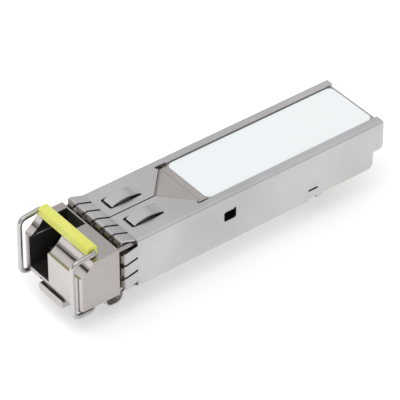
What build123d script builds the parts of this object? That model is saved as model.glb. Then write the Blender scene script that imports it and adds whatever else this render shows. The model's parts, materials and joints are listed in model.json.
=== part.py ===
from build123d import *
import os

# Small pluggable fibre transceiver with one fibre socket and a wire bail.
# Millimetres. X runs across the module, Y runs from the nose to the rear, Z is up.
# The origin is on the centre line, in the plane of the housing's bottom,
# at the shoulder of the latch post, from which the lengths are counted.

# Housing
shell_width = 13.4
shell_height = 8.5
sheet = 0.3
fold_radius = 0.5
rear_end = 45.0
rail_width = 1.55
fit_gap = 0.03

# Top flanges of the folded shell
slot_end = -0.6
chevron_apex = 7.3
chevron_depth = 4.8
seam_gap = 0.2
relief_start = 11.4
relief_end = 13.4
relief_inner = 4.75
relief_outer = 5.3
relief_depth = 0.4

# Ground spring fingers
finger_pitch = 2.17
finger_gap = 0.38
top_fingers = 6
side_fingers = 3
side_finger_pitch = 2.27
side_finger_top = 7.5
finger_sheet = 0.24
finger_rise = 0.92
side_bulge = 0.47
finger_crest = -3.1
finger_front = -3.72
finger_bend = 0.35
tip_step = -3.3
tip_inset = 0.3
bottom_loop_radius = 1.5
bottom_finger_width = 1.9

# Spring tongues in the top flanges
tongue_rear = 6.2
tongue_length = 5.6
tongue_width = 2.1
tongue_window = 2.6
tongue_gap = 0.55
tongue_centre = 2.67
tongue_rise = 0.7

# Openings in the sides of the shell
window_start = 14.95
window_length = 2.2
window_bottom = 4.13
window_height = 1.72
rear_slot_start = 30.75
rear_slot_length = 1.75
rear_slot_height = 0.35
rear_slot_bottom = 2.0
skirt_start = 33.6
skirt_height = 0.7
lower_rear_end = 43.15
lower_rear_top = 3.55

# Nose of the die casting
nose_overhang = 0.15
nose_width = shell_width + 2 * nose_overhang
nose_height = 8.6
nose_bottom = 0.1
nose_front = -10.9
nose_back = -3.95
nose_corner = 0.8
ledge_height = 6.55
ledge_depth = 0.45
ramp_top = 8.45
ramp_sag = 0.2
land_front = -8.4
neck_half = 6.1
neck_top = 7.85
neck_chamfer = 0.4
finger_seat = 0.04

# Tray of the die casting behind the nose
wall = 0.75
plate_drop = 0.3
plate_thickness = 0.7
plate_end = 44.75
floor_end = 3.6
floor_top = 1.1
port_wall_back = -3.25

# Fibre socket
port_x = -3.125
port_z = 3.3
port_width = 4.6
port_floor = 1.25
port_back = -4.2
liner_wall = 0.45
liner_floor = 0.2
liner_start = -10.6
liner_top = 6.25

# Latch post under the front
post_width = 2.6
post_length = 2.6
post_height = 0.45
post_tip = 0.9

# Wire bail
wire = 0.8
pivot_y = -8.15
pivot_z = -0.3
crank = 0.85
leg_y = -11.8
arm_lean = 0.1
leg_top = 9.35
grip_y = -7.92
grip_z = 9.73
grip_draw_in = 0.05
leg_bend = 1.1
pivot_bend = 0.9
grip_bend = 0.45
wire_sides = 12
bend_chords = 4
tight_chords = 3
crank_bend = 0.41
crank_gap = 1.05
pin_engagement = 0.45
ear_gap = 0.55
ear_width = 0.8
ear_radius = 0.8
pivot_clearance = 0.07
swing_clearance = 0.15

# Plastic grip on the bail
sleeve_end_gap = 0.02
sleeve_size = 1.64
sleeve_corner = 0.3

# Latch slide
slide_travel = 1.2
slide_half = 2.9
slide_clearance = 0.1
lip_front = -11.2
lip_length = 1.2
lip_bottom = -1.22
lip_top = 0.15
lip_corner = 0.4
lip_recess_top = 0.79
slide_thickness = 0.5
slide_top = 0.25
tine_inner = 1.75
tine_outer = 2.85
tine_thickness = 0.4
tine_tip = -0.3
hook_length = 0.8
wing_half = 3.7
wing_thickness = 0.25
wing_start = -1.3
wing_length = 2.2
cheek_thickness = 0.6
cheek_rim = 0.35
pin_clearance = 0.08

# Optics
barrel_radius = 1.25
barrel_hole = 1.35
flange_radius = 2.0
flange_thickness = 0.6
barrel_front = -8.2
barrel_lip = 0.3
sleeve_inner_radius = 0.63
sleeve_outer_radius = 0.8
mouth_radius = 0.72
stub_front = -4.4
gasket_radius = 2.3
clip_thickness = 0.4
block_size = 4.4
block_length = 6.0
beam_radius = 0.8
filter_size = 1.5
filter_thickness = 0.25
laser_radius = 2.3
receiver_radius = 2.1
cap_length = 1.2
header_thickness = 1.0
lead_radius = 0.2
lead_circle = 1.0
lead_length = 0.55
flex_thickness = 0.12
flex_width = 3.2
flex_rise = 2.0
flex_foot = 1.5
flex_shoulder = 1.2
flex_lap = 0.1
flex_seat = 1.7
flex_side_gap = 0.6

# Circuit board
board_bottom = 2.25
board_thickness = 1.0
board_start = 9.5
board_end = 41.8
board_side_gap = 0.12
tongue_half = 4.6
board_step = 33.8
rib_overlap = 0.35
rib_height = 0.9
pad_pitch = 0.8
pad_width = 0.56
pad_length = 3.1
pad_thickness = 0.05
pads_per_side = 10
driver_size = 4.0
driver_y = 16.5
driver_height = 0.85
thermal_gap = 0.65
controller_size = 4.0
controller_y = 24.0
controller_height = 0.85
memory_x = 2.2
memory_y = 28.5
memory_width = 3.0
memory_length = 2.0
memory_height = 0.8
small_width = 0.5
small_length = 1.0
capacitor_height = 0.5
capacitor_pitch = 1.8
capacitor_x = 4.0
capacitor_y = 13.0
resistor_height = 0.35
resistor_pitch = 1.6
resistor_x = -2.4
resistor_y = 21.0
under_row_x = 3.4
under_row_y = 26.0
inductor_width = 1.6
inductor_length = 0.8
inductor_height = 0.8
inductor_pitch = 1.9
inductor_x = -2.5
inductor_y = 29.5

# Label
label_half = 4.95
label_start = 13.3
label_end = 44.4
label_thickness = 0.08
label_corner = 1.0


def block(x0, x1, y0, y1, z0, z1):
    """Box between two corners."""
    return Pos((x0 + x1) / 2, (y0 + y1) / 2, (z0 + z1) / 2) * Box(x1 - x0, y1 - y0, z1 - z0)


def side_prism(outline, x0, x1):
    """Outline in Y and Z, drawn out along X."""
    return extrude(Plane.YZ.offset(x0) * make_face(outline), x1 - x0)


def plan_prism(outline, z0, z1):
    """Outline in X and Y, drawn out upwards."""
    return extrude(Pos(0, 0, z0) * make_face(outline), z1 - z0)


def round_y(x, z, radius, y0, y1):
    """Cylinder along Y."""
    return Pos(x, (y0 + y1) / 2, z) * Rot(90, 0, 0) * Cylinder(radius, y1 - y0)


def round_x(y, z, radius, x0, x1):
    """Cylinder along X."""
    return Pos((x0 + x1) / 2, y, z) * Rot(0, 90, 0) * Cylinder(radius, x1 - x0)


def strip(points, radii, thickness):
    """Bent strip of sheet, seen on edge: an outline in two coordinates."""
    return trace(FilletPolyline(*points, radius=radii), line_width=thickness).edges()


def creased_strip(points, thickness):
    """The same with sharp folds."""
    return trace(Polyline(*points), line_width=thickness).edges()


def both_sides(solid):
    return solid + mirror(solid, about=Plane.YZ)


# Places that several pieces share
shell_half = shell_width / 2
inner_half = shell_half - sheet
plate_top = shell_height - plate_drop
plate_under = plate_top - plate_thickness
rail_edge = shell_half - rail_width
tray_half = inner_half - fit_gap
cavity_half = tray_half - wall
board_half = cavity_half - board_side_gap
port_left = port_x - port_width / 2
port_right = port_x + port_width / 2
flange_front = port_wall_back + 0.25
flange_back = flange_front + flange_thickness
block_front = flange_back + clip_thickness
block_back = block_front + block_length
board_top = board_bottom + board_thickness
wire_radius = wire / 2
channel_half = slide_half + slide_clearance
pin_offset = crank / 2 ** 0.5
leg_x_bottom = nose_width / 2 - wire_radius
leg_x_top = leg_x_bottom - arm_lean
grip_x = leg_x_bottom - grip_draw_in
sleeve_half = grip_x - grip_bend - sleeve_end_gap
crank_x = slide_half + crank_gap
pin_end = slide_half - pin_engagement
ear_inner = crank_x + ear_gap
ear_outer = ear_inner + ear_width


def shell_section(grow):
    """Rounded section of the shell, outside for 0, inside for minus the sheet."""
    width = shell_width + 2 * grow
    height = shell_height + 2 * grow
    return RectangleRounded(width, height, fold_radius + grow)


def shell_tube():
    ring = shell_section(0) - shell_section(-sheet)
    length = rear_end - slot_end
    return extrude(Plane.XZ.offset(-rear_end) * Pos(0, shell_height / 2) * ring, length)


def top_opening():
    """What the two top flanges leave open: a chevron, then the gap between the rails."""
    corner = chevron_apex + chevron_depth
    outline = Polyline(
        (0, chevron_apex), (rail_edge, corner), (rail_edge, rear_end + 1),
        (-rail_edge, rear_end + 1), (-rail_edge, corner), close=True,
    )
    return plan_prism(outline, plate_top - 0.1, shell_height + 1)


def chevron_reliefs():
    """Small pockets where the chevron meets the rails."""
    return both_sides(block(relief_inner, relief_outer, relief_start, relief_end,
                            plate_top - relief_depth, shell_height + 1))


def rear_profile_cut():
    """The lower rear of the sides is cut back, and the bottom ends before it."""
    far = rear_end + 1
    outline = FilletPolyline(
        (skirt_start, -1), (skirt_start, skirt_height), (lower_rear_end, skirt_height),
        (lower_rear_end, lower_rear_top), (rear_end, lower_rear_top), (rear_end, plate_top),
        (far, plate_top), (far, -1),
        radius=[0.2, 0.9, 0.35, 0.8, 0.01, 0.01],
    )
    closing = Line(outline @ 1, outline @ 0)
    return side_prism(outline.edges() + closing.edges(), -shell_half - 1, shell_half + 1)


def side_openings():
    """Window, slot and open notch in one side of the shell."""
    reach = shell_half + 1
    window = block(inner_half - 0.5, reach, window_start, window_start + window_length,
                   window_bottom, window_bottom + window_height)
    window = fillet(window.edges().filter_by(Axis.X), 0.35)
    notch = block(inner_half - 0.5, reach, window_start + window_length - 0.4, window_start + window_length,
                  window_bottom + window_height - 0.4, window_bottom + window_height + 0.15)
    slot = block(inner_half - 0.5, reach, rear_slot_start, rear_slot_start + rear_slot_length,
                 rear_slot_bottom, rear_slot_bottom + rear_slot_height)
    low = block(inner_half - 0.5, reach, rear_slot_start, rear_slot_start + rear_slot_length,
                -1, skirt_height)
    return window + notch + slot + low


def top_finger_outline():
    crest = shell_height + finger_rise - finger_sheet / 2
    mid = shell_height - sheet / 2
    tip = neck_top + finger_seat + finger_sheet / 3
    return strip([(slot_end + 0.1, mid), (finger_crest, crest), (finger_front, tip)], [finger_bend], finger_sheet)


def side_finger_outline():
    """The same finger laid on its side: an outline in X and Y."""
    crest = shell_half + side_bulge - finger_sheet / 2
    mid = shell_half - sheet / 2
    tip = neck_half + finger_seat + finger_sheet / 3
    return strip([(mid, slot_end + 0.1), (crest, finger_crest), (tip, finger_front)], [finger_bend], finger_sheet)


def bottom_finger_outline():
    """Finger that loops down below the neck."""
    r = bottom_loop_radius
    front = -3.0 - 2 * r
    return strip(
        [(slot_end + 0.3, sheet / 2), (-3.0, sheet / 2), (-3.0, -r), (front, -r), (front, -0.2)],
        [sheet, 0.8 * r, 0.8 * r], finger_sheet)


def shell_fingers():
    """Row of fingers, each full wide to its crest and narrower at its tip."""
    fingers = Part()
    half = (finger_pitch - finger_gap) / 2
    whole = side_prism(top_finger_outline(), -half, half)
    tip = side_prism(top_finger_outline(), -half + tip_inset, half - tip_inset)
    ahead = block(-half - 1, half + 1, nose_back - 1, tip_step, 0, shell_height + 2)
    top_finger = (whole - ahead) + tip
    for i in range(top_fingers):
        fingers += Pos((i - (top_fingers - 1) / 2) * finger_pitch, 0, 0) * top_finger
    height = side_finger_pitch - finger_gap
    whole = plan_prism(side_finger_outline(), -height, 0)
    tip = plan_prism(side_finger_outline(), tip_inset - height, -tip_inset)
    ahead = block(0, shell_width, nose_back - 1, tip_step, -height - 1, 1)
    side_finger = (whole - ahead) + tip
    for i in range(side_fingers):
        fingers += both_sides(Pos(0, 0, side_finger_top - i * side_finger_pitch) * side_finger)
    outer = shell_half - fold_radius
    fingers += both_sides(side_prism(bottom_finger_outline(), outer - bottom_finger_width, outer))
    return fingers


def spring_tongue():
    """Tongue bowed outwards, held at its rear end."""
    front = tongue_rear - tongue_length + tongue_gap
    middle = (front + tongue_rear) / 2
    mid = shell_height - sheet / 2
    bow = ThreePointArc((tongue_rear + 0.1, mid), (middle, mid + tongue_rise), (front, mid + 0.02))
    outline = trace(bow, line_width=finger_sheet).edges()
    return side_prism(outline, tongue_centre - tongue_width / 2, tongue_centre + tongue_width / 2)


def tongue_opening():
    half = tongue_window / 2
    opening = block(tongue_centre - half, tongue_centre + half, tongue_rear - tongue_length, tongue_rear,
                    plate_top - 0.1, shell_height + 1)
    return fillet(opening.edges().filter_by(Axis.Z).group_by(Axis.Y)[0], 0.4)


def make_outer_shell():
    shell = shell_tube() - top_opening() - chevron_reliefs() - rear_profile_cut()
    shell -= block(-seam_gap / 2, seam_gap / 2, slot_end - 1, chevron_apex + 1, plate_top - 0.1, shell_height + 1)
    shell -= both_sides(side_openings())
    shell -= both_sides(tongue_opening())
    shell += both_sides(spring_tongue())
    shell -= block(-channel_half, channel_half, slot_end - 1, floor_end - 0.4, -1, sheet + 0.1)
    return shell + shell_fingers()


def nose_block():
    nose = block(-nose_width / 2, nose_width / 2, nose_front, nose_back, nose_bottom, nose_height)
    uprights = nose.edges().filter_by(Axis.Z).group_by(Axis.Y)[0]
    nose = fillet(uprights, nose_corner)
    underside = nose.faces().sort_by(Axis.Z)[0].edges().sort_by(Axis.Y)[0]
    nose = fillet(underside, 0.6)
    return nose


def nose_scoop():
    """Hollow ahead of the top land: a ledge, a concave ramp and a short steep step."""
    ahead = nose_front - 1
    ledge_back = nose_front + ledge_depth
    above = nose_height + 1
    ramp = ThreePointArc((ledge_back, ledge_height),
                         ((ledge_back + land_front + ramp_sag) / 2, (ledge_height + ramp_top - ramp_sag) / 2),
                         (land_front, ramp_top))
    rest = Polyline((land_front, ramp_top), (land_front + 0.08, above), (ahead, above),
                    (ahead, ledge_height), (ledge_back, ledge_height))
    return side_prism(ramp.edges() + rest.edges(), -nose_width, nose_width)


def port_cut():
    """Fibre socket in the nose, open at its top, with the seat of its liner."""
    mouth = block(port_left, port_right, nose_front - 1, port_back, port_floor, nose_height + 1)
    seat = liner_body(0)
    hole = round_y(port_x, port_z, barrel_hole, port_back - 0.1, port_wall_back + 0.1)
    return mouth + seat + hole


def liner_body(slack):
    """Outside of the liner, which springs out behind the lips of the socket."""
    return block(port_left - liner_wall - slack, port_right + liner_wall + slack,
                 liner_start - slack, port_back + slack, port_floor - liner_floor - slack, liner_top + slack)


def tray():
    """Neck and inverted tray behind the nose, open below and at the rear."""
    neck = block(-neck_half, neck_half, nose_back - 0.1, slot_end, floor_top - 0.75, neck_top)
    neck = chamfer(neck.edges().filter_by(Axis.Y).group_by(Axis.Z)[-1], neck_chamfer)
    body = block(-tray_half, tray_half, slot_end, plate_end, sheet + fit_gap, plate_top - fit_gap)
    body = chamfer(body.edges().filter_by(Axis.Y), 0.3)
    raised = block(-rail_edge + 0.1, rail_edge - 0.1, chevron_apex + chevron_depth + 0.1, plate_end,
                   plate_under, plate_top)
    hollow = block(-cavity_half, cavity_half, port_wall_back, rear_end + 1, floor_top, plate_under)
    open_below = block(-cavity_half, cavity_half, floor_end, rear_end + 1, -1, floor_top + 0.1)
    return neck + body + raised - hollow - open_below


def tray_rear_cut():
    """The side walls follow the shell's cut-back rear."""
    lower = block(-shell_width, shell_width, skirt_start - 0.5, rear_end + 1, -1, skirt_height + 0.2)
    upper = block(-shell_width, shell_width, lower_rear_end - 0.4, rear_end + 1, -1, lower_rear_top + 0.4)
    return lower + upper


def board_ribs():
    """Ribs above and below each edge of the board, with a stop ahead of it."""
    inner = board_half - rib_overlap
    outer = cavity_half + 0.1
    above = block(inner, outer, board_start, board_step - 1, board_top, board_top + rib_height)
    below = block(inner, outer, board_start, board_step - 1, board_bottom - rib_height, board_bottom)
    stop = block(inner, outer, board_start - rib_overlap, board_start,
                 board_bottom - rib_height, board_top + rib_height)
    return both_sides(above + below + stop)


def heat_pedestal():
    half = driver_size / 2 + 0.2
    top = board_top + driver_height + thermal_gap
    return block(-half, half, driver_y - half, driver_y + half, top, plate_under + 0.1)


def latch_post():
    """Wedge under the front, steep towards the nose and sloping to the rear."""
    profile = Polyline((0, floor_top - 0.1), (0, -post_height), (0.7, -post_height),
                       (post_length, 0.05), (post_length, floor_top - 0.1), close=True)
    plan = Polyline((-post_width / 2, 0), (post_width / 2, 0), (post_tip / 2, post_length),
                    (-post_tip / 2, post_length), close=True)
    return side_prism(profile, -post_width, post_width) & plan_prism(plan, -1, floor_top)


def pivot_ears():
    """Two eyes below the nose that carry the ends of the bail."""
    eye = round_x(pivot_y, pivot_z, ear_radius, ear_inner, ear_outer)
    eye += block(ear_inner, ear_outer, pivot_y - ear_radius, pivot_y + ear_radius, pivot_z, nose_bottom + 0.4)
    eye -= round_x(pivot_y, pivot_z, wire_radius + pivot_clearance, ear_inner - 1, ear_outer + 1)
    return both_sides(eye)


def swing_room():
    """Rebates under the nose in which the bail's arms and cranks turn."""
    roof = pivot_z + wire_radius + swing_clearance
    turn = wire_radius + swing_clearance
    arm = block(leg_x_bottom - turn, nose_width, nose_front - 1, pivot_y + turn, -2, roof)
    cross = block(slide_half + 0.1, nose_width, pivot_y - turn, pivot_y + turn, -2, roof)
    return both_sides(arm + cross)


def slide_track():
    """Channel under the nose and neck for the latch slide."""
    low = block(-channel_half, channel_half, nose_front - 1, port_wall_back, -2, slide_top + slide_clearance)
    front = block(-channel_half, channel_half, nose_front - 1,
                  lip_front + lip_length + slide_travel + slide_clearance, -2, lip_recess_top)
    wings = block(-wing_half - slide_clearance, wing_half + slide_clearance, nose_back,
                  floor_end - 0.4, -2, sheet + fit_gap + wing_thickness + slide_clearance)
    return low + front + wings


def make_body_casting():
    casting = nose_block() - nose_scoop() + tray()
    casting -= port_cut() + swing_room() + slide_track() + tray_rear_cut() + chevron_reliefs()
    casting += board_ribs() + heat_pedestal() + latch_post() + pivot_ears()
    window = block(cavity_half - 1, shell_half, window_start - 0.3, window_start + window_length + 0.5,
                   window_bottom - 0.3, window_bottom + window_height + 0.4)
    slot = block(cavity_half - 1, shell_half, rear_slot_start - 0.2, rear_slot_start + rear_slot_length + 0.2,
                 rear_slot_bottom - 0.2, rear_slot_bottom + rear_slot_height + 0.2)
    return casting - both_sides(window + slot)


def make_port_liner():
    inside = block(port_left, port_right, nose_front - 1, port_back - liner_floor, port_floor, nose_height + 1)
    hole = round_y(port_x, port_z, barrel_hole, port_back - 1, port_back + 1)
    return liner_body(-fit_gap) - inside - hole


def make_receptacle_barrel():
    tube = round_y(port_x, port_z, barrel_radius, barrel_front, flange_back)
    flange = round_y(port_x, port_z, flange_radius, flange_front, flange_back)
    bore = round_y(port_x, port_z, sleeve_outer_radius, barrel_front + barrel_lip, flange_back + 1)
    mouth = round_y(port_x, port_z, mouth_radius, barrel_front - 1, barrel_front + 1)
    return tube + flange - bore - mouth


def make_ferrule_sleeve():
    outside = round_y(port_x, port_z, sleeve_outer_radius, barrel_front + barrel_lip, stub_front)
    return outside - round_y(port_x, port_z, sleeve_inner_radius, barrel_front - 1, flange_back)


def make_fibre_stub():
    return round_y(port_x, port_z, sleeve_outer_radius, stub_front, flange_back)


def make_emi_gasket():
    ring = round_y(port_x, port_z, gasket_radius, port_wall_back, flange_front)
    ring -= block(port_x - flange_radius, port_x + flange_radius, port_wall_back - 1, flange_front + 1, 0, floor_top)
    return ring - round_y(port_x, port_z, barrel_hole, port_wall_back - 1, flange_front + 1)


def make_receptacle_clip():
    """Plate with an open slot that presses the flange forward."""
    plate = block(-cavity_half, port_right + 0.3, flange_back, block_front, floor_top, plate_under - 0.6)
    slot = round_y(port_x, port_z, beam_radius + 0.2, flange_back - 1, block_front + 1)
    slot += block(port_x - beam_radius - 0.2, port_x + beam_radius + 0.2, flange_back - 1, block_front + 1,
                  0, port_z)
    return plate - slot


def make_optics_block():
    half = block_size / 2
    body = block(port_x - half, port_x + half, block_front, block_back, port_z - half, port_z + half)
    body = chamfer(body.edges().filter_by(Axis.Y), 0.4)
    body += round_y(port_x, port_z, beam_radius + 0.15, flange_back, block_front + 0.1)
    body -= round_y(port_x, port_z, beam_radius, flange_back - 1, block_back + 1)
    middle = (block_front + block_back) / 2
    return body - round_x(middle, port_z, beam_radius, port_x, port_x + half + 1)


def make_wavelength_filter():
    middle = (block_front + block_back) / 2
    return Pos(port_x, middle, port_z) * Rot(0, 0, 45) * Box(filter_size * 0.8, filter_thickness, filter_size)


def can(radius, lead_count):
    """Sealed metal can, drawn along Z from its window to its leads."""
    cap = Pos(0, 0, cap_length / 2) * Cylinder(radius - 0.4, cap_length)
    header = Pos(0, 0, cap_length + header_thickness / 2) * Cylinder(radius, header_thickness)
    body = cap + header
    start = cap_length + header_thickness
    for place in PolarLocations(lead_circle, lead_count, 45):
        body += place * Pos(0, 0, start - 0.05) * extrude(RegularPolygon(lead_radius, 4), lead_length + 0.05)
    return body


def make_laser_can():
    return Pos(port_x, block_back, port_z) * Rot(-90, 0, 0) * can(laser_radius, 4)


def make_receiver_can():
    middle = (block_front + block_back) / 2
    return Pos(port_x + block_size / 2, middle, port_z) * Rot(0, 90, 0) * can(receiver_radius, 4)


def make_laser_flex():
    start = block_back + cap_length + header_thickness + lead_length + flex_thickness / 2
    seat = board_top + flex_thickness / 2
    high = port_z + flex_rise
    outline = creased_strip([(start, port_z - flex_foot), (start, high), (start + flex_shoulder, high),
                             (board_start + flex_lap, seat), (board_start + flex_seat, seat)], flex_thickness)
    return side_prism(outline, port_x - flex_width / 2, port_x + flex_width / 2)


def make_receiver_flex():
    """Stands on the side can's leads, folds over at its top and runs back to the board."""
    middle = (block_front + block_back) / 2
    x = port_x + block_size / 2 + cap_length + header_thickness + lead_length + flex_thickness / 2
    high = port_z + flex_rise
    seat = board_top + flex_thickness / 2
    width = flex_width / 2
    outer = board_half - rib_overlap - fit_gap
    upright = creased_strip([(x, port_z - flex_foot), (x, high), (outer, high)], flex_thickness)
    fold = extrude(Plane.XZ.offset(-middle - width) * make_face(upright), flex_width)
    run = creased_strip([(middle - width, high), (board_start - flex_shoulder, high),
                         (board_start + flex_lap, seat), (board_start + flex_seat, seat)], flex_thickness)
    return fold + side_prism(run, x + flex_side_gap, outer)


def make_circuit_board():
    outline = Polyline(
        (-board_half, board_start), (board_half, board_start), (board_half, board_step),
        (tongue_half, board_step), (tongue_half, board_end), (-tongue_half, board_end),
        (-tongue_half, board_step), (-board_half, board_step), close=True)
    board = plan_prism(outline, board_bottom, board_top)
    end_edges = board.edges().filter_by(Axis.X).group_by(Axis.Y)[-1]
    return chamfer(end_edges, 0.25)


def make_edge_contacts():
    """Gold pads on both faces of the board's plug end."""
    pads = []
    back = board_end - 0.35
    for i in range(pads_per_side):
        x = (i - (pads_per_side - 1) / 2) * pad_pitch
        for z in (board_top, board_bottom - pad_thickness):
            pads.append(block(x - pad_width / 2, x + pad_width / 2, back - pad_length, back,
                              z, z + pad_thickness))
    return Compound(children=pads)


def chip(x, y, width, length, height, above=True):
    """Component standing on the board, or hanging below it."""
    z0 = board_top if above else board_bottom - height
    return block(x - width / 2, x + width / 2, y - length / 2, y + length / 2, z0, z0 + height)


def make_thermal_pad():
    z0 = board_top + driver_height
    half = driver_size / 2
    return block(-half, half, driver_y - half, driver_y + half, z0, z0 + thermal_gap)


def chip_row(count, x, y, step, size, above=True):
    """Row of equal small components along the board."""
    width, length, height = size
    return [chip(x, y + i * step, width, length, height, above) for i in range(count)]


def make_capacitors():
    size = (small_width, small_length, capacitor_height)
    rows = chip_row(5, -capacitor_x, capacitor_y, capacitor_pitch, size)
    rows += chip_row(5, capacitor_x, capacitor_y, capacitor_pitch, size)
    rows += chip_row(4, -under_row_x, under_row_y, capacitor_pitch, size, above=False)
    return Compound(children=rows)


def make_resistors():
    size = (small_width, small_length, resistor_height)
    rows = chip_row(4, resistor_x, resistor_y, resistor_pitch, size)
    rows += chip_row(4, under_row_x, under_row_y, resistor_pitch, size, above=False)
    return Compound(children=rows)


def make_inductors():
    size = (inductor_width, inductor_length, inductor_height)
    return Compound(children=chip_row(3, inductor_x, inductor_y, inductor_pitch, size))


def bail_path():
    """Centre line of the wire from one crank pin to the other."""
    low = pivot_z - pin_offset
    ahead = pivot_y - pin_offset
    right = [
        (pin_end, ahead, low), (crank_x, ahead, low), (crank_x, pivot_y, pivot_z),
        (leg_x_bottom, pivot_y, pivot_z), (leg_x_bottom, leg_y, pivot_z),
        (leg_x_top, leg_y, leg_top), (grip_x, grip_y, grip_z),
    ]
    left = [(-x, y, z) for x, y, z in reversed(right)]
    bends = [crank_bend, crank_bend, pivot_bend, leg_bend, leg_bend, grip_bend]
    return FilletPolyline(*right, *left, radius=bends + bends[::-1])


def chord_path(path):
    """The same line with each bend drawn as a few straight chords, which keeps the facets few."""
    points = [path @ 0]
    for edge in path.edges():
        steps = 1
        if edge.geom_type == GeomType.CIRCLE:
            steps = bend_chords if edge.radius > wire else tight_chords
        points += [edge @ (i / steps) for i in range(1, steps + 1)]
    return Polyline(*points)


def make_bail_wire():
    path = chord_path(bail_path())
    start = Plane(origin=path @ 0, z_dir=path % 0)
    return sweep(start * RegularPolygon(wire_radius, wire_sides), path=path, transition=Transition.RIGHT)


def make_bail_sleeve(bail_wire):
    """Square bar with rounded edges, pierced lengthwise by the wire."""
    section = RectangleRounded(sleeve_size, sleeve_size, sleeve_corner)
    return extrude(Plane.YZ.offset(-sleeve_half) * Pos(grip_y, grip_z) * section, 2 * sleeve_half) - bail_wire


def slide_lip():
    lip = block(-slide_half, slide_half, lip_front, lip_front + lip_length, lip_bottom, lip_top)
    return fillet(lip.edges().filter_by(Axis.Y), lip_corner)


def slide_cheeks():
    """Side plates with upright slots for the bail's crank pins."""
    pin_y = pivot_y - pin_offset
    half = wire_radius + pin_clearance
    slot_bottom = pivot_z - crank - half
    inner = slide_half - cheek_thickness
    cheek = block(inner, slide_half, pin_y - half - cheek_rim, pin_y + half + cheek_rim,
                  slot_bottom - cheek_rim, slide_top)
    corners = cheek.edges().filter_by(Axis.X).group_by(Axis.Z)[0]
    cheek = fillet(corners, cheek_rim)
    cheek -= block(inner - 1, slide_half + 1, pin_y - half, pin_y + half, slot_bottom,
                   pivot_z - pin_offset + half)
    return both_sides(cheek)


def slide_tine():
    """Arm beside the latch post, hooked at its tip, with a wing above the shell's bottom."""
    bottom = slide_top - tine_thickness
    hook_start = tine_tip - hook_length
    profile = Polyline((nose_back - 0.5, slide_top), (nose_back - 0.5, bottom), (hook_start, bottom),
                       (hook_start + post_height / 2, -post_height), (tine_tip, bottom), (tine_tip, slide_top),
                       close=True)
    wing_bottom = sheet + fit_gap
    riser = block(tine_inner, tine_outer, wing_start, tine_tip, bottom, wing_bottom + wing_thickness)
    wing = block(tine_inner, wing_half, wing_start, wing_start + wing_length,
                 wing_bottom, wing_bottom + wing_thickness)
    return side_prism(profile, tine_inner, tine_outer) + riser + wing


def make_latch_slide():
    plate = block(-slide_half, slide_half, lip_front + lip_length / 2, nose_back,
                  slide_top - slide_thickness, slide_top)
    return slide_lip() + plate + slide_cheeks() + both_sides(slide_tine())


def make_label():
    corner = RectangleRounded(2 * label_half, label_end - label_start, label_corner)
    return extrude(Pos(0, (label_start + label_end) / 2, plate_top) * corner, label_thickness)


def main():
    os.makedirs("parts", exist_ok=True)
    bail_wire = make_bail_wire()
    parts = {
        "body_casting": make_body_casting(),
        "outer_shell": make_outer_shell(),
        "port_liner": make_port_liner(),
        "label": make_label(),
        "bail_wire": bail_wire,
        "bail_sleeve": make_bail_sleeve(bail_wire),
        "latch_slide": make_latch_slide(),
        "receptacle_barrel": make_receptacle_barrel(),
        "ferrule_sleeve": make_ferrule_sleeve(),
        "fibre_stub": make_fibre_stub(),
        "emi_gasket": make_emi_gasket(),
        "receptacle_clip": make_receptacle_clip(),
        "optics_block": make_optics_block(),
        "wavelength_filter": make_wavelength_filter(),
        "laser_can": make_laser_can(),
        "receiver_can": make_receiver_can(),
        "laser_flex": make_laser_flex(),
        "receiver_flex": make_receiver_flex(),
        "circuit_board": make_circuit_board(),
        "edge_contacts": make_edge_contacts(),
        "driver_chip": chip(0, driver_y, driver_size, driver_size, driver_height),
        "controller_chip": chip(0, controller_y, controller_size, controller_size, controller_height,
                                above=False),
        "memory_chip": chip(memory_x, memory_y, memory_width, memory_length, memory_height),
        "capacitors": make_capacitors(),
        "resistors": make_resistors(),
        "inductors": make_inductors(),
        "thermal_pad": make_thermal_pad(),
    }
    for node, solid in parts.items():
        export_step(solid, f"parts/{node}.step")


main()
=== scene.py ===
import json
from math import cos, radians, sin

import bpy
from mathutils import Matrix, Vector


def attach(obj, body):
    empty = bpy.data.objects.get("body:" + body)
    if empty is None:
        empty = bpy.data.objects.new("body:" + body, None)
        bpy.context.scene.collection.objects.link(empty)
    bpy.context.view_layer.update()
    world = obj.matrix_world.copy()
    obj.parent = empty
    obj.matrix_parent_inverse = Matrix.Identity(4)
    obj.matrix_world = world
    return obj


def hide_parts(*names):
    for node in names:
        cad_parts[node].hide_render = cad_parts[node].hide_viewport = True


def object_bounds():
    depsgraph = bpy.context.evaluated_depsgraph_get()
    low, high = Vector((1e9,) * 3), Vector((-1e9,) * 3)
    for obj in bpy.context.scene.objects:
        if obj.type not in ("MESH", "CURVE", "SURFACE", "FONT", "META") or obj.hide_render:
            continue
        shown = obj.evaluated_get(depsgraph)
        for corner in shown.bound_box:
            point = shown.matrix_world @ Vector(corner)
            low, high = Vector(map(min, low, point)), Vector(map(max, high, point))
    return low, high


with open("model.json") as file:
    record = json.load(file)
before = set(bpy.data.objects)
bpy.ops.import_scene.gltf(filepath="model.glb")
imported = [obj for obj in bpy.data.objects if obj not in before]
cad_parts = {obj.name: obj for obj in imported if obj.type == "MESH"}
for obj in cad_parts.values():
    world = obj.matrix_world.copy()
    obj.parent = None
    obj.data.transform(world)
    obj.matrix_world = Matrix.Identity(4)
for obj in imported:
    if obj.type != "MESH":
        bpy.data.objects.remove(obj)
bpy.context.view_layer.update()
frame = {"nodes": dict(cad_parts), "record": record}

MM = 0.001
NODES = frame["nodes"]

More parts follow.
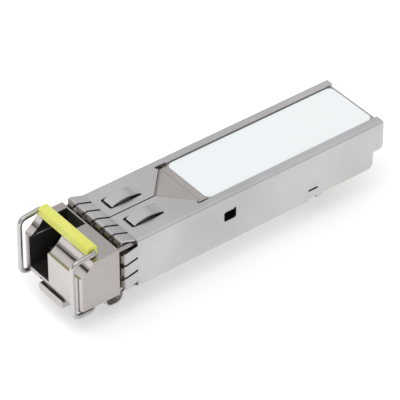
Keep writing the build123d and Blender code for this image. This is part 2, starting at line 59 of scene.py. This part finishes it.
# Camera, solved from the module's edges in the photograph
CAMERA_AZIMUTH = radians(52.164)
CAMERA_ELEVATION = radians(38.607)
CAMERA_DISTANCE = 440.75 * MM
CAMERA_LENS = 270.24
CAMERA_SENSOR = 36.0
CAMERA_CLIP_START = 0.01
CAMERA_CLIP_END = 10.0
CAMERA_TARGET = Vector((0.0, 21.45, 4.0)) * MM
CAMERA_SHIFT_RIGHT = -4.523 * MM
CAMERA_SHIFT_UP = -2.455 * MM

# Floor, with a glow for the camera and for reflections that grows ahead of the nose
FLOOR_HALF_SIZE = 1.2
FLOOR_DROP = 2.45 * MM
FLOOR_GREY = (0.80, 0.80, 0.80, 1)
FLOOR_ROUGHNESS = 0.9
FLOOR_GLOW = 0.32
FLOOR_GLOW_FRONT = 0.42
FLOOR_FRONT_START = -8 * MM
FLOOR_FRONT_FULL = -18 * MM
FLOOR_LIFT = 0.04

# Sky: an even grey lights the part, and reflections see bands of grey instead
SKY_LIGHT = 0.78
SKY_LAST_GREY = 0.85
# Greys by height of the direction, from 0 at the horizon to 1 overhead
SKY_BANDS = ((0.12, 0.9), (0.22, 0.62), (0.30, 0.55), (0.42, 0.42), (0.54, 0.80), (0.64, 0.90), (0.78, 0.85))
# Greys that take over ahead of the nose, from 0 straight ahead to 1 straight behind
SKY_AHEAD = ((0.06, 0.40), (0.11, 0.45), (0.135, 0.75), (0.160, 0.70), (0.175, 0.02), (0.205, 0.02),
             (0.225, 0.80), (0.31, 1.0), (0.35, 0.60))
SKY_AHEAD_POWER = 1.25
SKY_AHEAD_START = 0.36
SKY_AHEAD_FULL = 0.33

# Lamps: places and sizes in metres, power in watts
LAMP_TARGET = (0.0, 0.017, 0.004)
KEY_PLACE = (0.10, -0.05, 0.40)
KEY_SIZE = 0.30
KEY_POWER = 0.32
FRONT_PLACE = (-0.25, -0.30, 0.10)
FRONT_SIZE = 0.20
FRONT_POWER = 0.06

# Bail wire in millimetres, from a crank pin to the grip on one side
BAIL_RADIUS = 0.392
BAIL_CORNERS = ((2.45, -8.751, -0.901), (3.95, -8.751, -0.901), (3.95, -8.15, -0.3), (6.45, -8.15, -0.3),
                (6.45, -11.8, -0.3), (6.35, -11.8, 9.35), (6.4, -7.92, 9.73))
BAIL_BENDS = (0.41, 0.41, 0.9, 1.1, 1.1, 0.45)
BAIL_BEND_STEPS = 10
BAIL_SIDES = 32

# Socket and ramp of the nose in millimetres; each end of the ramp is its place along Y and its height
SOCKET_LEFT = -5.425
SOCKET_RIGHT = -0.825
SOCKET_BACK = -4.2
SOCKET_LINER_TOP = 6.25
RAMP_FRONT = (-10.45, 6.55)
RAMP_TOP = (-8.4, 8.45)
RAMP_HOLLOW = 0.17
RAMP_FACE = ((-7, -10.43, 6.4), (7, -8.33, 8.47))

# Black sheets of painted shade above the socket's liner in millimetres, and how far they keep inside the
# nose
SHEET_THICKNESS = 0.04
SHEET_FOOT = 6.6
SHEET_TOP = 8.4
SHEET_BELOW_RAMP = 0.22
SHEET_BEHIND_FRONT = 0.37
SHEET_BEHIND_RAMP_TOP = 0.1
SHEET_LEAST_HEIGHT = 0.02
SHEET_STEPS = 8

# Painted shade on the spring fingers of the shell, in millimetres: tip and crest along Y, and a height
# between them and the loops
TIP_END = -3.40
TIP_CREST = -3.00
LOOPS_TOP = 0.3

# Start of the label's recess in millimetres along Y; behind it, crevices get no painted shade and stay as
# light as the rest
LABEL_RECESS_START = 12.9

# Colours, linear; a second colour is the one of faint blotches
NICKEL = (0.415, 0.385, 0.370, 1)
NICKEL_BRIGHT = (0.515, 0.485, 0.470, 1)
STEEL = (0.665, 0.65, 0.655, 1)
STEEL_DARK = (0.50, 0.495, 0.51, 1)
# Painted shade for the finger tips of the shell
TIP_PAINTED_SHADE = (0.20, 0.18, 0.165, 1)
# Painted shade in crevices
CREVICE_PAINTED_SHADE = (0.012, 0.011, 0.010, 1)
WIRE_STEEL = (0.47, 0.46, 0.455, 1)
GRIP_YELLOW = (0.77, 0.79, 0.10, 1)
GRIP_YELLOW_LIGHT = (0.86, 0.87, 0.21, 1)
SOCKET_BLACK = (0.012, 0.011, 0.010, 1)
LABEL_WHITE = (0.950, 0.98, 0.995, 1)
LABEL_WHITE_SECOND = (0.93, 0.965, 0.985, 1)
CERAMIC = (0.85, 0.82, 0.76, 1)
CERAMIC_SECOND = (0.9, 0.88, 0.84, 1)
GLASS_BLUE = (0.75, 0.88, 0.95, 1)
GLASS_BLUE_SECOND = (0.65, 0.80, 0.95, 1)
GOLD = (0.83, 0.60, 0.22, 1)
RUBBER = (0.05, 0.05, 0.055, 1)
RUBBER_SECOND = (0.09, 0.09, 0.10, 1)
FLEX_AMBER = (0.45, 0.16, 0.03, 1)
FLEX_AMBER_SECOND = (0.55, 0.25, 0.06, 1)
BOARD_GREEN = (0.015, 0.10, 0.035, 1)
BOARD_GREEN_SECOND = (0.02, 0.14, 0.05, 1)
CHIP_BLACK = (0.02, 0.02, 0.022, 1)
CHIP_BLACK_SECOND = (0.035, 0.035, 0.04, 1)
CAPACITOR_TAN = (0.32, 0.22, 0.13, 1)
TIN = (0.62, 0.62, 0.62, 1)
PAD_GREY = (0.22, 0.27, 0.33, 1)
PAD_GREY_SECOND = (0.28, 0.33, 0.40, 1)
WHITE = (1, 1, 1, 1)
BLACK = (0, 0, 0, 1)

# Surface of the finishes: grain, blotches, painted shade in crevices, the polished ramp and the filter's
# glass
EVEN_GRAIN = (1.0, 1.0, 1.0)
GRAIN_ALONG_Y = (1.0, 0.15, 1.0)
GRAIN_AROUND_Y = (0.05, 6.0, 0.05)
GRAIN_HEIGHT = 0.02 * MM
STREAK_DETAIL = 3.0
BLOTCH_DETAIL = 4.0
BLOTCH_CONTRAST = 2.0
NOISE_LOW = 0.3
NOISE_HIGH = 0.7
CREVICE_DEPTH = 1.6
CREVICE_SAMPLES = 8
EDGE_SAMPLES = 4
RAMP_ROUGHNESS = 0.08
GLASS_ROUGHNESS = 0.05
GLASS_IOR = 1.5
GLASS_CLEARNESS = 0.9
GLASS_CONTRAST = 1.0

# Colour sockets of a Mix node
MIX_FIRST = 6
MIX_SECOND = 7
MIX_RESULT = 2


# Nodes that shaders and groups share

def feed(links, socket, value):
    """Links another node's output to the socket, or sets the socket's own value."""
    if isinstance(value, bpy.types.NodeSocket):
        links.new(value, socket)
    else:
        socket.default_value = value


def calculate(nodes, links, operation, *values, clamp=False):
    """Result of a Math node, its values given as outputs or numbers."""
    node = nodes.new("ShaderNodeMath")
    node.operation = operation
    node.use_clamp = clamp
    for socket, value in zip(node.inputs, values):
        feed(links, socket, value)
    return node.outputs[0]


def mix_colours(nodes, links, share, first, second):
    """The first colour at a share of 0 and the second at 1."""
    mix = nodes.new("ShaderNodeMix")
    mix.data_type = "RGBA"
    feed(links, mix.inputs["Factor"], share)
    feed(links, mix.inputs[MIX_FIRST], first)
    feed(links, mix.inputs[MIX_SECOND], second)
    return mix.outputs[MIX_RESULT]


def map_range(nodes, links, value, start, end, low=0.0, high=1.0, blend="SMOOTHSTEP"):
    """Takes a value that goes from start to end to one that goes from low to high."""
    node = nodes.new("ShaderNodeMapRange")
    node.interpolation_type = blend
    node.inputs["From Min"].default_value = start
    node.inputs["From Max"].default_value = end
    node.inputs["To Min"].default_value = low
    node.inputs["To Max"].default_value = high
    links.new(value, node.inputs["Value"])
    return node.outputs["Result"]


def split_place(nodes, links, kind="Object"):
    """X, Y and Z of a place on a piece, or of a direction in the world."""
    place = nodes.new("ShaderNodeTexCoord")
    split = nodes.new("ShaderNodeSeparateXYZ")
    links.new(place.outputs[kind], split.inputs[0])
    return split.outputs


# Shader groups that several finishes share

def new_group(name, inputs, outputs):
    """Shader group with its sockets: label, kind and, for an input, its default."""
    group = bpy.data.node_groups.new(name, "ShaderNodeTree")
    for label, kind, default in inputs:
        socket = group.interface.new_socket(label, in_out="INPUT", socket_type="NodeSocket" + kind)
        socket.default_value = default
    for label, kind in outputs:
        group.interface.new_socket(label, in_out="OUTPUT", socket_type="NodeSocket" + kind)
    start = group.nodes.new("NodeGroupInput")
    end = group.nodes.new("NodeGroupOutput")
    return group, start, end


def make_grain_group():
    """Drawn or brushed grain and soft blotches, each put out as a value about 0.5."""
    group, start, end = new_group(
        "metal grain",
        [("Stretch", "Vector", EVEN_GRAIN), ("Scale", "Float", 900.0), ("Blotch", "Float", 60.0)],
        [("Streaks", "Float"), ("Blotches", "Float")])
    nodes, links = group.nodes, group.links
    place = nodes.new("ShaderNodeTexCoord")
    stretched = nodes.new("ShaderNodeVectorMath")
    stretched.operation = "MULTIPLY"
    links.new(place.outputs["Object"], stretched.inputs[0])
    links.new(start.outputs["Stretch"], stretched.inputs[1])
    streaks = nodes.new("ShaderNodeTexNoise")
    streaks.inputs["Detail"].default_value = STREAK_DETAIL
    links.new(stretched.outputs[0], streaks.inputs["Vector"])
    links.new(start.outputs["Scale"], streaks.inputs["Scale"])
    blotches = nodes.new("ShaderNodeTexNoise")
    blotches.inputs["Detail"].default_value = BLOTCH_DETAIL
    links.new(place.outputs["Object"], blotches.inputs["Vector"])
    links.new(start.outputs["Blotch"], blotches.inputs["Scale"])
    links.new(streaks.outputs["Fac"], end.inputs["Streaks"])
    links.new(blotches.outputs["Fac"], end.inputs["Blotches"])
    return group


def make_tint_group():
    """Mixes two colours by a value about 0.5, with the contrast given."""
    group, start, end = new_group(
        "tint",
        [("Value", "Float", 0.5), ("Contrast", "Float", 1.0), ("Colour", "Color", WHITE),
         ("Second colour", "Color", BLACK)],
        [("Colour", "Color")])
    nodes, links = group.nodes, group.links
    centred = calculate(nodes, links, "SUBTRACT", start.outputs["Value"], 0.5)
    share = calculate(nodes, links, "MULTIPLY_ADD", centred, start.outputs["Contrast"], 0.5, clamp=True)
    mixed = mix_colours(nodes, links, share, start.outputs["Colour"], start.outputs["Second colour"])
    links.new(mixed, end.inputs["Colour"])
    return group


def make_crevice_group():
    """Paints shade into a colour in slots, seams and inner corners, as ambient occlusion finds them, apart
    from those behind a place along Y.
    """
    group, start, end = new_group(
        "painted crevice shade",
        [("Colour", "Color", WHITE), ("Reach", "Float", 0.001), ("Depth", "Float", 1.0),
         ("Unshaded behind", "Float", 1.0)],
        [("Colour", "Color")])
    nodes, links = group.nodes, group.links
    around = nodes.new("ShaderNodeAmbientOcclusion")
    around.samples = CREVICE_SAMPLES
    links.new(start.outputs["Reach"], around.inputs["Distance"])
    openness = calculate(nodes, links, "POWER", around.outputs["AO"], start.outputs["Depth"])
    along = split_place(nodes, links)["Y"]
    behind = calculate(nodes, links, "GREATER_THAN", along, start.outputs["Unshaded behind"])
    share = calculate(nodes, links, "MAXIMUM", openness, behind)
    links.new(mix_colours(nodes, links, share, CREVICE_PAINTED_SHADE, start.outputs["Colour"]), end.inputs["Colour"])
    return group


def make_region_group():
    """1 within a box of Object coordinates, else 0."""
    group, start, end = new_group(
        "region",
        [("Low corner", "Vector", (0, 0, 0)), ("High corner", "Vector", (0, 0, 0))],
        [("Inside", "Float")])
    nodes, links = group.nodes, group.links
    place = nodes.new("ShaderNodeTexCoord").outputs["Object"]
    distances = []
    for far, near in ((place, start.outputs["Low corner"]), (start.outputs["High corner"], place)):
        apart = nodes.new("ShaderNodeVectorMath")
        apart.operation = "SUBTRACT"
        links.new(far, apart.inputs[0])
        links.new(near, apart.inputs[1])
        split = nodes.new("ShaderNodeSeparateXYZ")
        links.new(apart.outputs[0], split.inputs[0])
        distances += list(split.outputs)
    least = distances[0]
    for distance in distances[1:]:
        least = calculate(nodes, links, "MINIMUM", least, distance)
    links.new(calculate(nodes, links, "GREATER_THAN", least, 0.0), end.inputs["Inside"])
    return group


GRAIN = make_grain_group()
TINT = make_tint_group()
CREVICE_SHADE = make_crevice_group()
REGION = make_region_group()


# Finishes

def new_finish(name):
    material = bpy.data.materials.new(name)
    material.use_nodes = True
    nodes = material.node_tree.nodes
    return material, nodes, material.node_tree.links, nodes["Principled BSDF"]


def put_group(nodes, links, group, values):
    """Places a group in a material and feeds its inputs by name."""
    node = nodes.new("ShaderNodeGroup")
    node.node_tree = group
    for label, value in values.items():
        feed(links, node.inputs[label], value)
    return node.outputs


def bump_from(nodes, links, value, strength, radius=0.0):
    """Relief from a grain value, with edges rounded when a radius is given."""
    bump = nodes.new("ShaderNodeBump")
    bump.inputs["Strength"].default_value = strength
    bump.inputs["Distance"].default_value = GRAIN_HEIGHT
    links.new(value, bump.inputs["Height"])
    if radius:
        bevel = nodes.new("ShaderNodeBevel")
        bevel.samples = EDGE_SAMPLES
        bevel.inputs["Radius"].default_value = radius
        links.new(bevel.outputs["Normal"], bump.inputs["Normal"])
    return bump.outputs["Normal"]


def shade_tips(nodes, links, colour):
    """Painted shade towards the tips of the spring fingers, apart from the loops under the bottom."""
    place = split_place(nodes, links)
    away = map_range(nodes, links, place["Y"], TIP_END * MM, TIP_CREST * MM)
    loop = calculate(nodes, links, "LESS_THAN", place["Z"], LOOPS_TOP * MM)
    return mix_colours(nodes, links, calculate(nodes, links, "MAXIMUM", away, loop), TIP_PAINTED_SHADE, colour)


def polish(nodes, links, roughness, low, high):
    """Smoother metal within a box, its two corners in millimetres."""
    region = put_group(nodes, links, REGION, {
        "Low corner": Vector(low) * MM, "High corner": Vector(high) * MM})
    blend = nodes.new("ShaderNodeMix")
    links.new(region["Inside"], blend.inputs["Factor"])
    links.new(roughness, blend.inputs["A"])
    blend.inputs["B"].default_value = RAMP_ROUGHNESS
    return blend.outputs["Result"]


def textured(name, colour, second, roughness, scale, blotch, bump,
             stretch=EVEN_GRAIN, radius=0.0, crevice=None, tips=False, polished=None):
    """Finish with fine grain in gloss and relief, and faint blotches of the second colour.

    crevice is how far painted shade reaches into crevices, tips paints shade towards the finger tips, and
    polished is a box of two corners.
    """
    material, nodes, links, shader = new_finish(name)
    grain = put_group(nodes, links, GRAIN, {"Stretch": stretch, "Scale": scale, "Blotch": blotch})
    tinted = put_group(nodes, links, TINT, {
        "Value": grain["Blotches"], "Contrast": BLOTCH_CONTRAST,
        "Colour": colour, "Second colour": second})["Colour"]
    # Painted shade in crevices, darker where ambient occlusion finds them close
    if crevice:
        tinted = put_group(nodes, links, CREVICE_SHADE, {
            "Colour": tinted, "Reach": crevice,
            "Depth": CREVICE_DEPTH, "Unshaded behind": LABEL_RECESS_START * MM})["Colour"]
    # Painted shade towards the finger tips
    if tips:
        tinted = shade_tips(nodes, links, tinted)
    links.new(tinted, shader.inputs["Base Color"])
    rough = map_range(nodes, links, grain["Streaks"], NOISE_LOW, NOISE_HIGH, *roughness, blend="LINEAR")
    if polished:
        rough = polish(nodes, links, rough, *polished)
    links.new(rough, shader.inputs["Roughness"])
    links.new(bump_from(nodes, links, grain["Streaks"], bump, radius), shader.inputs["Normal"])
    return material, shader


def metal(name, colour, second, roughness, scale, blotch, bump=0.05, **extras):
    """Bare or plated metal; extras are the last values of textured."""
    material, shader = textured(name, colour, second, roughness, scale, blotch, bump, **extras)
    shader.inputs["Metallic"].default_value = 1.0
    return material


def moulded(name, colour, second, roughness, scale, blotch, bump=0.1):
    """Plastic, rubber, ceramic or film."""
    return textured(name, colour, second, roughness, scale, blotch, bump)[0]


def make_filter_glass():
    material, nodes, links, shader = new_finish("filter glass")
    grain = put_group(nodes, links, GRAIN, {"Stretch": EVEN_GRAIN, "Scale": 1500.0, "Blotch": 400.0})
    tinted = put_group(nodes, links, TINT, {
        "Value": grain["Blotches"], "Contrast": GLASS_CONTRAST,
        "Colour": GLASS_BLUE, "Second colour": GLASS_BLUE_SECOND})
    links.new(tinted["Colour"], shader.inputs["Base Color"])
    shader.inputs["Roughness"].default_value = GLASS_ROUGHNESS
    shader.inputs["IOR"].default_value = GLASS_IOR
    shader.inputs["Transmission Weight"].default_value = GLASS_CLEARNESS
    return material


def make_finishes():
    """One finish for each material slot of the record.

    The numbers after the two colours are the range of roughness, then grains and blotches to the metre.
    """
    return {
        # The casting and the shell carry painted shade in their crevices, and the shell painted shade at its
        # finger tips
        "casting_nickel": metal(
            "satin nickel", NICKEL, NICKEL_BRIGHT, (0.26, 0.34), 2600.0, 90.0,
            bump=0.03, radius=0.08 * MM, crevice=0.6 * MM, polished=RAMP_FACE),
        "shell_steel": metal(
            "folded shell steel", STEEL, STEEL_DARK, (0.28, 0.36), 3500.0, 70.0,
            bump=0.03, stretch=GRAIN_ALONG_Y, radius=0.04 * MM, crevice=0.5 * MM, tips=True),
        "wire_steel": metal("bail wire steel", WIRE_STEEL, WIRE_STEEL, (0.06, 0.12), 2500.0, 200.0),
        "slide_nickel": metal(
            "latch nickel", NICKEL_BRIGHT, NICKEL, (0.28, 0.40), 2600.0, 150.0, bump=0.08, radius=0.06 * MM),
        "grip_yellow": moulded("yellow grip", GRIP_YELLOW, GRIP_YELLOW_LIGHT, (0.35, 0.5), 3000.0, 160.0),
        "socket_black": moulded("socket plastic", SOCKET_BLACK, SOCKET_BLACK, (0.45, 0.65), 3500.0, 300.0),
        "label_white": moulded(
            "label film", LABEL_WHITE, LABEL_WHITE_SECOND, (0.45, 0.6), 6000.0, 60.0, bump=0.04),
        "turned_steel": metal(
            "turned steel", STEEL, NICKEL, (0.2, 0.35), 2500.0, 150.0, stretch=GRAIN_AROUND_Y),
        "ferrule_ceramic": moulded(
            "ground ceramic", CERAMIC, CERAMIC_SECOND, (0.15, 0.3), 4000.0, 300.0, bump=0.03),
        "filter_glass": make_filter_glass(),
        "gasket_rubber": moulded("gasket rubber", RUBBER, RUBBER_SECOND, (0.6, 0.8), 4000.0, 900.0),
        "contact_gold": metal("contact gold", GOLD, GOLD, (0.2, 0.3), 3500.0, 400.0),
        "can_gold": metal("can gold", GOLD, NICKEL, (0.2, 0.35), 2500.0, 300.0),
        "flex_amber": moulded("film circuit", FLEX_AMBER, FLEX_AMBER_SECOND, (0.25, 0.35), 2500.0, 900.0),
        "board_green": moulded("solder mask", BOARD_GREEN, BOARD_GREEN_SECOND, (0.3, 0.45), 3500.0, 500.0),
        "chip_black": moulded("chip moulding", CHIP_BLACK, CHIP_BLACK_SECOND, (0.5, 0.7), 5000.0, 500.0),
        "capacitor_tan": moulded("capacitor body", CAPACITOR_TAN, TIN, (0.35, 0.5), 2500.0, 700.0),
        "resistor_black": moulded("resistor body", CHIP_BLACK, TIN, (0.35, 0.5), 2500.0, 700.0),
        "pad_grey": moulded("thermal pad", PAD_GREY, PAD_GREY_SECOND, (0.6, 0.8), 3500.0, 900.0),
    }


def dress_nodes(finishes):
    """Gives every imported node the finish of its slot."""
    for part in frame["record"]["subparts"]:
        slots = NODES[part["node"]].data.materials
        slots.clear()
        slots.append(finishes[part["material_slot"]])


# Bail wire, drawn round over the many-sided one of the frame

def make_wire_tree():
    """Round wire along a line of corners: each corner is rounded by its own bend radius."""
    tree = bpy.data.node_groups.new("bent wire", "GeometryNodeTree")
    tree.interface.new_socket("Corners", in_out="INPUT", socket_type="NodeSocketGeometry")
    kinds = {"Wire radius": "Float", "Steps in a bend": "Int", "Sides": "Int", "Finish": "Material"}
    sockets = {}
    for label, kind in kinds.items():
        socket = tree.interface.new_socket(label, in_out="INPUT", socket_type="NodeSocket" + kind)
        sockets[label] = socket.identifier
    tree.interface.new_socket("Wire", in_out="OUTPUT", socket_type="NodeSocketGeometry")
    nodes, links = tree.nodes, tree.links
    given = nodes.new("NodeGroupInput")
    made = nodes.new("NodeGroupOutput")
    line = nodes.new("GeometryNodeMeshToCurve")
    bend = nodes.new("GeometryNodeInputNamedAttribute")
    bend.inputs["Name"].default_value = "bend"
    rounded = nodes.new("GeometryNodeFilletCurve")
    rounded.mode = "POLY"
    ring = nodes.new("GeometryNodeCurvePrimitiveCircle")
    swept = nodes.new("GeometryNodeCurveToMesh")
    swept.inputs["Fill Caps"].default_value = True
    smooth = nodes.new("GeometryNodeSetShadeSmooth")
    real = nodes.new("GeometryNodeRealizeInstances")
    finish = nodes.new("GeometryNodeSetMaterial")
    links.new(given.outputs["Corners"], line.inputs[0])
    links.new(line.outputs[0], rounded.inputs["Curve"])
    links.new(bend.outputs[0], rounded.inputs["Radius"])
    links.new(given.outputs["Steps in a bend"], rounded.inputs["Count"])
    links.new(given.outputs["Wire radius"], ring.inputs["Radius"])
    links.new(given.outputs["Sides"], ring.inputs["Resolution"])
    links.new(rounded.outputs[0], swept.inputs["Curve"])
    links.new(ring.outputs[0], swept.inputs["Profile Curve"])
    links.new(swept.outputs[0], smooth.inputs[0])
    links.new(smooth.outputs[0], real.inputs[0])
    links.new(real.outputs[0], finish.inputs["Geometry"])
    links.new(given.outputs["Finish"], finish.inputs["Material"])
    links.new(finish.outputs[0], made.inputs[0])
    return tree, sockets


def make_bail_wire(finish):
    """Round wire on the same line as the frame's bail, bent with its own bend radii."""
    left = [(-x, y, z) for x, y, z in reversed(BAIL_CORNERS)]
    bends = [0, *BAIL_BENDS, *reversed(BAIL_BENDS), 0]
    corners = bpy.data.meshes.new("bail_corners")
    corners.from_pydata([Vector(corner) * MM for corner in [*BAIL_CORNERS, *left]],
                        [(i, i + 1) for i in range(len(bends) - 1)], [])
    radii = corners.attributes.new("bend", "FLOAT", "POINT")
    for corner, bend in zip(radii.data, bends):
        corner.value = bend * MM
    wire = bpy.data.objects.new("bail_round_wire", corners)
    bpy.context.scene.collection.objects.link(wire)
    tree, sockets = make_wire_tree()
    bending = wire.modifiers.new("bend", "NODES")
    bending.node_group = tree
    bending[sockets["Wire radius"]] = BAIL_RADIUS * MM
    bending[sockets["Steps in a bend"]] = BAIL_BEND_STEPS
    bending[sockets["Sides"]] = BAIL_SIDES
    bending[sockets["Finish"]] = finish
    bent = bpy.data.meshes.new_from_object(wire.evaluated_get(bpy.context.evaluated_depsgraph_get()))
    wire.modifiers.remove(bending)
    wire.data = bent
    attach(wire, "bail")
    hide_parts("bail_wire")


# Black sheets of painted shade above the socket's liner, up to the top of the nose

def prism_mesh(name, outline, x0, x1):
    """Outline in Y and Z, given anticlockwise as seen from +X, drawn out along X."""
    count = len(outline)
    points = [(x0, y, z) for y, z in outline] + [(x1, y, z) for y, z in outline]
    faces = [tuple(reversed(range(count))), tuple(range(count, 2 * count))]
    faces += [(i, (i + 1) % count, count + (i + 1) % count, count + i) for i in range(count)]
    mesh = bpy.data.meshes.new(name)
    mesh.from_pydata([Vector(point) * MM for point in points], [], faces)
    return mesh


def ramp_height(y):
    """Height of the nose's hollow ramp at a place along Y."""
    share = (y - RAMP_FRONT[0]) / (RAMP_TOP[0] - RAMP_FRONT[0])
    straight = RAMP_FRONT[1] + share * (RAMP_TOP[1] - RAMP_FRONT[1])
    return straight - 4 * RAMP_HOLLOW * share * (1 - share)


def sheet_height(y):
    """Top of a side sheet below the ramp, at a place along Y."""
    return min(SHEET_TOP, max(SHEET_FOOT + SHEET_LEAST_HEIGHT, ramp_height(y) - SHEET_BELOW_RAMP))


def make_socket_shade_sheets(finish):
    """Thin black sheets of painted shade at the far side, the near side and the rear of the socket, above
    its liner.
    """
    front = RAMP_FRONT[0] + SHEET_BEHIND_FRONT
    inner_back = SOCKET_BACK - SHEET_THICKNESS
    inner_left = SOCKET_LEFT + SHEET_THICKNESS
    inner_right = SOCKET_RIGHT - SHEET_THICKNESS
    rising = [front + i * (RAMP_TOP[0] - front) / SHEET_STEPS for i in range(SHEET_STEPS + 1)]
    side = [(front, SHEET_FOOT), (SOCKET_BACK, SHEET_FOOT), (SOCKET_BACK, SHEET_TOP),
            (RAMP_TOP[0] + SHEET_BEHIND_RAMP_TOP, SHEET_TOP)]
    side += [(y, sheet_height(y)) for y in reversed(rising)]
    rear = [(inner_back, SOCKET_LINER_TOP), (SOCKET_BACK, SOCKET_LINER_TOP), (SOCKET_BACK, SHEET_TOP),
            (inner_back, SHEET_TOP)]
    meshes = [prism_mesh("socket_shade_sheet_far", side, SOCKET_LEFT, inner_left),
              prism_mesh("socket_shade_sheet_near", side, inner_right, SOCKET_RIGHT),
              prism_mesh("socket_shade_sheet_rear", rear, inner_left, inner_right)]
    for mesh in meshes:
        mesh.materials.append(finish)
        sheet = bpy.data.objects.new(mesh.name, mesh)
        bpy.context.scene.collection.objects.link(sheet)
        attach(sheet, "root")


# Studio

def add_camera():
    level = cos(CAMERA_ELEVATION)
    back = Vector((level * sin(CAMERA_AZIMUTH), -level * cos(CAMERA_AZIMUTH), sin(CAMERA_ELEVATION)))
    right = Vector((cos(CAMERA_AZIMUTH), sin(CAMERA_AZIMUTH), 0.0))
    up = back.cross(right)
    data = bpy.data.cameras.new("camera")
    data.sensor_width = CAMERA_SENSOR
    data.lens = CAMERA_LENS
    data.clip_start = CAMERA_CLIP_START
    data.clip_end = CAMERA_CLIP_END
    camera = bpy.data.objects.new("camera", data)
    look = CAMERA_TARGET + right * CAMERA_SHIFT_RIGHT + up * CAMERA_SHIFT_UP
    camera.location = look + back * CAMERA_DISTANCE
    camera.rotation_euler = back.to_track_quat("Z", "Y").to_euler()
    bpy.context.scene.collection.objects.link(camera)
    bpy.context.scene.camera = camera


def floor_glow(nodes, links):
    """Glow where the camera, a reflection or glass sees the floor, with a little more for the camera."""
    path = nodes.new("ShaderNodeLightPath").outputs
    seen = calculate(nodes, links, "MAXIMUM", path["Is Camera Ray"], path["Is Glossy Ray"])
    seen = calculate(nodes, links, "MAXIMUM", seen, path["Is Transmission Ray"])
    along = split_place(nodes, links)["Y"]
    strength = map_range(nodes, links, along, FLOOR_FRONT_START, FLOOR_FRONT_FULL,
                         FLOOR_GLOW, FLOOR_GLOW + FLOOR_GLOW_FRONT)
    glow = calculate(nodes, links, "MULTIPLY", seen, strength)
    return calculate(nodes, links, "MULTIPLY_ADD", path["Is Camera Ray"], FLOOR_LIFT, glow)


def add_floor():
    """Pale sweep below the lowest swing of the bail."""
    half = FLOOR_HALF_SIZE
    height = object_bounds()[0][2] - FLOOR_DROP
    corners = [(-half, -half, height), (half, -half, height), (half, half, height), (-half, half, height)]
    mesh = bpy.data.meshes.new("studio_floor")
    mesh.from_pydata(corners, [], [(0, 1, 2, 3)])
    floor = bpy.data.objects.new("studio_floor", mesh)
    bpy.context.scene.collection.objects.link(floor)
    material, nodes, links, shader = new_finish("studio paper")
    shader.inputs["Base Color"].default_value = FLOOR_GREY
    shader.inputs["Roughness"].default_value = FLOOR_ROUGHNESS
    shader.inputs["Emission Color"].default_value = WHITE
    links.new(floor_glow(nodes, links), shader.inputs["Emission Strength"])
    mesh.materials.append(material)


def add_area(name, place, size, power):
    data = bpy.data.lights.new(name, "AREA")
    data.size = size
    data.energy = power
    lamp = bpy.data.objects.new(name, data)
    lamp.location = Vector(place)
    lamp.rotation_euler = (Vector(place) - Vector(LAMP_TARGET)).to_track_quat("Z", "Y").to_euler()
    bpy.context.scene.collection.objects.link(lamp)


def grey_bands(nodes, links, place, bands):
    """Greys by place, from white at 0 to the last grey at 1."""
    ramp = nodes.new("ShaderNodeValToRGB")
    steps = ramp.color_ramp.elements
    steps[0].color = WHITE
    steps[1].color = (SKY_LAST_GREY, SKY_LAST_GREY, SKY_LAST_GREY, 1)
    for position, grey in bands:
        step = steps.new(position)
        step.color = (grey, grey, grey, 1)
    links.new(place, ramp.inputs["Fac"])
    return ramp.outputs["Color"]


def add_world():
    """White for the camera, an even pale sky as light, and a banded studio for reflections."""
    world = bpy.data.worlds.new("studio")
    world.use_nodes = True
    nodes, links = world.node_tree.nodes, world.node_tree.links
    direction = split_place(nodes, links, "Generated")
    bands = grey_bands(nodes, links, direction["Z"], SKY_BANDS)
    behind = calculate(nodes, links, "MULTIPLY_ADD", direction["Y"], 0.5, 0.5)
    ahead = nodes.new("ShaderNodeVectorMath")
    ahead.operation = "SCALE"
    ahead.inputs["Scale"].default_value = SKY_AHEAD_POWER
    links.new(grey_bands(nodes, links, behind, SKY_AHEAD), ahead.inputs[0])
    share = map_range(nodes, links, behind, SKY_AHEAD_START, SKY_AHEAD_FULL)
    mirrored = mix_colours(nodes, links, share, bands, ahead.outputs[0])
    path = nodes.new("ShaderNodeLightPath").outputs
    even = (SKY_LIGHT, SKY_LIGHT, SKY_LIGHT, 1)
    unseen = mix_colours(nodes, links, path["Is Glossy Ray"], even, mirrored)
    seen = mix_colours(nodes, links, path["Is Camera Ray"], unseen, WHITE)
    links.new(seen, nodes["Background"].inputs["Color"])
    bpy.context.scene.world = world


def main():
    finishes = make_finishes()
    dress_nodes(finishes)
    make_bail_wire(finishes["wire_steel"])
    # Black sheets of painted shade inside the socket
    make_socket_shade_sheets(finishes["socket_black"])
    add_floor()
    add_world()
    add_area("key_light", KEY_PLACE, KEY_SIZE, KEY_POWER)
    add_area("front_light", FRONT_PLACE, FRONT_SIZE, FRONT_POWER)
    add_camera()
    bpy.context.scene.view_settings.view_transform = "Standard"


main()
